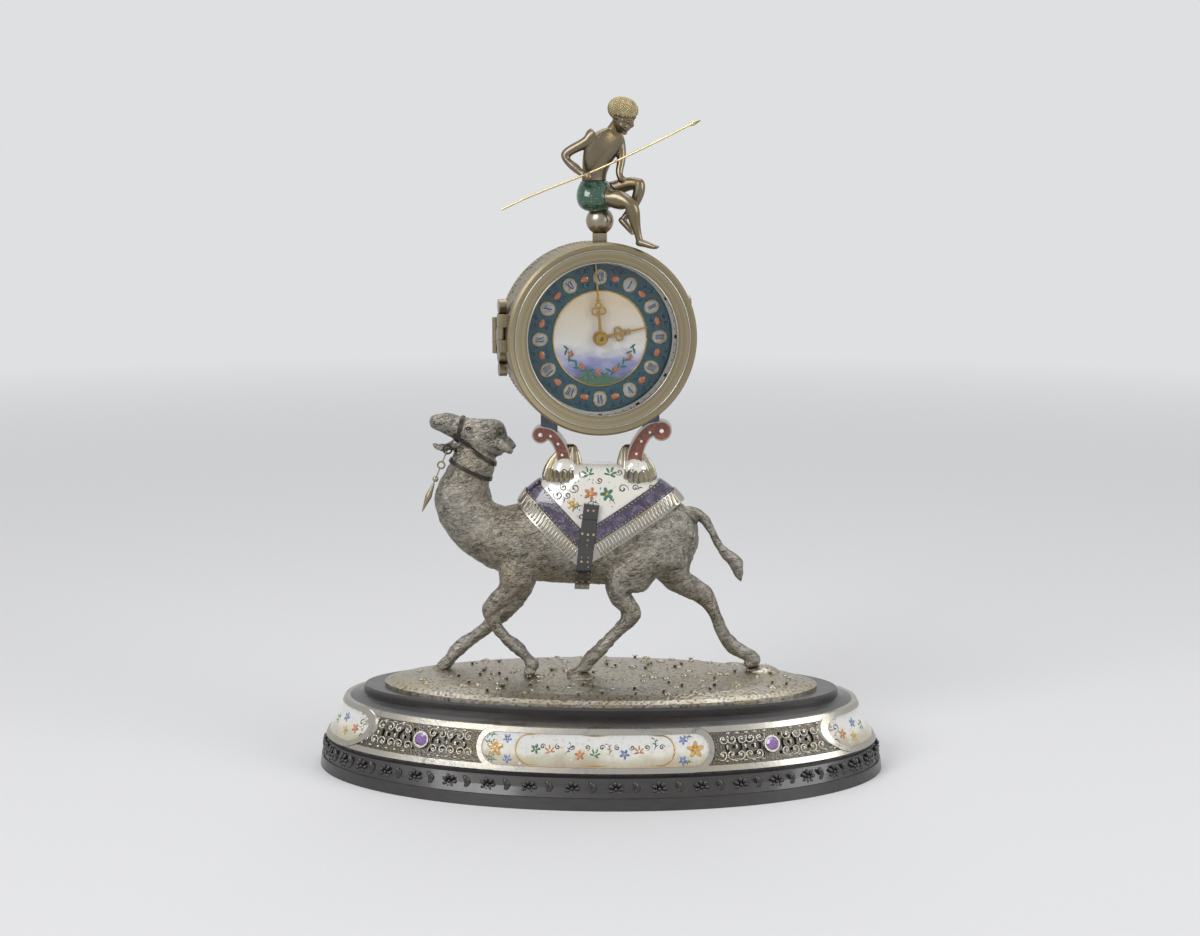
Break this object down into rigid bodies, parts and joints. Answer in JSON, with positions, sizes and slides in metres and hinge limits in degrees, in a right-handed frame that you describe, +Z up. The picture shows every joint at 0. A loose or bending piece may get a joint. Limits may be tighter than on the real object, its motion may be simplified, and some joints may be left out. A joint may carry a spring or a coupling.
{
  "type": "figural table clock",
  "caption": "Enamelled silver table clock: a striding camel on an oval base carries a hinged drum clock and a seated figure.",
  "frame": {"origin": "centre of the oval plinth's underside", "axes": "+X along the base towards the camel's tail, +Y towards the back, +Z up"},
  "size_m": [0.24, 0.133, 0.2812],
  "materials": {
    "ebonised_wood": "black lacquer, polished",
    "silver": "oxidised silver, chased",
    "fur_silver": "silver chased all over with a fur texture",
    "gilt": "gilt, worn",
    "bezel_gilt": "brushed gilt",
    "movement_brass": "brushed brass",
    "steel": "polished steel",
    "pictorial_enamel": "painted enamel",
    "dial_enamel": "blue and white enamel",
    "saddle_enamel": "white enamel with sprigs",
    "purple_enamel": "translucent purple enamel",
    "red_enamel": "translucent red enamel",
    "blue_enamel": "dark blue enamel",
    "black_enamel": "black enamel with gold dots",
    "green_enamel": "translucent green enamel",
    "amethyst": "polished cabochon",
    "pearl": "pearl",
    "glass": "clear flat glass"
  },
  "bodies": {
    "clock": {"plinth": "ebonised_wood", "carved_moulding": "ebonised_wood", "base_core": "silver", "cornice": "ebonised_wood", "top_slab": "ebonised_wood", "base_screws": "steel", "ground_plate": "silver", "band_rails": "silver", "plaque_frames": "silver", "enamel_plaques": "pictorial_enamel", "pierced_panels": "silver", "gem_collets": "silver", "gems": "amethyst", "camel_trunk": "fur_silver", "camel_head": "fur_silver", "foreleg_near": "fur_silver", "foreleg_far": "fur_silver", "hindleg_near": "fur_silver", "hindleg_far": "fur_silver", "tail": "fur_silver", "saddle_cloth": "saddle_enamel", "saddle_band": "purple_enamel", "saddle_fringe": "silver", "girth_strap": "black_enamel", "bridle_straps": "silver", "drum_case": "gilt", "hinge_pins": "steel", "side_ornaments": "silver", "dial": "dial_enamel", "dial_centre": "pictorial_enamel", "front_plate": "movement_brass", "back_plate": "movement_brass", "pillars_and_studs": "movement_brass", "balance_cock": "movement_brass", "hump_cups": "silver", "scroll_brackets": "silver", "case_blocks": "blue_enamel", "bracket_enamels": "red_enamel", "bracket_pearls": "pearl", "finial": "silver", "figure_body": "silver", "figure_loincloth": "green_enamel", "spear": "gilt"},
    "bezel": {"bezel": "bezel_gilt", "bezel_glass": "glass"},
    "back_cover": {"back_cover": "gilt"},
    "minute_hand": {"minute_hand": "gilt", "cannon_pinion": "steel"},
    "hour_hand": {"hour_hand": "gilt", "hour_wheel": "movement_brass"},
    "minute_wheel": {"minute_wheel": "movement_brass"},
    "escape_wheel": {"escape_wheel": "steel"},
    "fourth_wheel": {"fourth_wheel": "movement_brass"},
    "third_wheel": {"third_wheel": "movement_brass"},
    "centre_wheel": {"centre_wheel": "movement_brass"},
    "spring_barrel": {"spring_barrel": "movement_brass"},
    "balance": {"balance": "movement_brass"},
    "winding_arbor": {"winding_arbor": "steel"},
    "click": {"click": "steel"},
    "bridle_pendant": {"bridle_pendant": "silver"}
  },
  "joints": [
    {"name": "bezel_hinge", "type": "hinge", "parent": "clock", "child": "bezel", "pos_m": [-0.03953, -0.01654, 0.186], "axis": [0, 0, -1], "range_deg": [0, 100]},
    {"name": "back_cover_hinge", "type": "hinge", "parent": "clock", "child": "back_cover", "pos_m": [-0.04371, 0.00313, 0.183], "axis": [0, 0, 1], "range_deg": [0, 100]},
    {"name": "minute_turn", "type": "hinge", "parent": "clock", "child": "minute_hand", "pos_m": [0.00044, -0.00776, 0.183], "axis": [0.2419, -0.9703, 0], "continuous": true},
    {"name": "hour_turn", "type": "hinge", "parent": "clock", "child": "hour_hand", "pos_m": [0.00019, -0.00679, 0.183], "axis": [0.2419, -0.9703, 0], "continuous": true},
    {"name": "minute_wheel_turn", "type": "hinge", "parent": "clock", "child": "minute_wheel", "pos_m": [-0.00581, -0.0052, 0.18046], "axis": [0.2419, -0.9703, 0], "continuous": true},
    {"name": "escape_turn", "type": "hinge", "parent": "clock", "child": "escape_wheel", "pos_m": [-0.00206, 0.00089, 0.19607], "axis": [0.2419, -0.9703, 0], "continuous": true},
    {"name": "fourth_turn", "type": "hinge", "parent": "clock", "child": "fourth_wheel", "pos_m": [0.00456, 0.00254, 0.19487], "axis": [0.2419, -0.9703, 0], "continuous": true},
    {"name": "third_turn", "type": "hinge", "parent": "clock", "child": "third_wheel", "pos_m": [0.00582, 0.00286, 0.1875], "axis": [0.2419, -0.9703, 0], "continuous": true},
    {"name": "centre_turn", "type": "hinge", "parent": "clock", "child": "centre_wheel", "pos_m": [-0.00174, 0.00097, 0.183], "axis": [0.2419, -0.9703, 0], "continuous": true},
    {"name": "barrel_turn", "type": "hinge", "parent": "clock", "child": "spring_barrel", "pos_m": [-0.00223, 0.00291, 0.16892], "axis": [0.2419, -0.9703, 0], "continuous": true},
    {"name": "balance_swing", "type": "hinge", "parent": "clock", "child": "balance", "pos_m": [-0.00831, 0.00758, 0.19607], "axis": [0.2419, -0.9703, 0], "range_deg": [-135, 135]},
    {"name": "winding_turn", "type": "hinge", "parent": "clock", "child": "winding_arbor", "pos_m": [-0.00344, 0.00776, 0.16892], "axis": [0.2419, -0.9703, 0], "range_deg": [0, 1440]},
    {"name": "click_lift", "type": "hinge", "parent": "clock", "child": "click", "pos_m": [0.00195, 0.00911, 0.17492], "axis": [0.2419, -0.9703, 0], "range_deg": [0, 10]},
    {"name": "pendant_swing", "type": "hinge", "parent": "clock", "child": "bridle_pendant", "pos_m": [-0.06432, -0.0036, 0.13408], "axis": [0, 1, 0], "range_deg": [0, 35]}
  ],
  "couplings": [
    {"joint": "minute_wheel_turn", "follows": "minute_turn", "ratio": -0.33333},
    {"joint": "hour_turn", "follows": "minute_turn", "ratio": 0.083333},
    {"joint": "fourth_turn", "follows": "escape_turn", "ratio": -0.1},
    {"joint": "third_turn", "follows": "escape_turn", "ratio": 0.013333},
    {"joint": "centre_turn", "follows": "escape_turn", "ratio": -0.0016667},
    {"joint": "barrel_turn", "follows": "escape_turn", "ratio": 0.00021368}
  ]
}
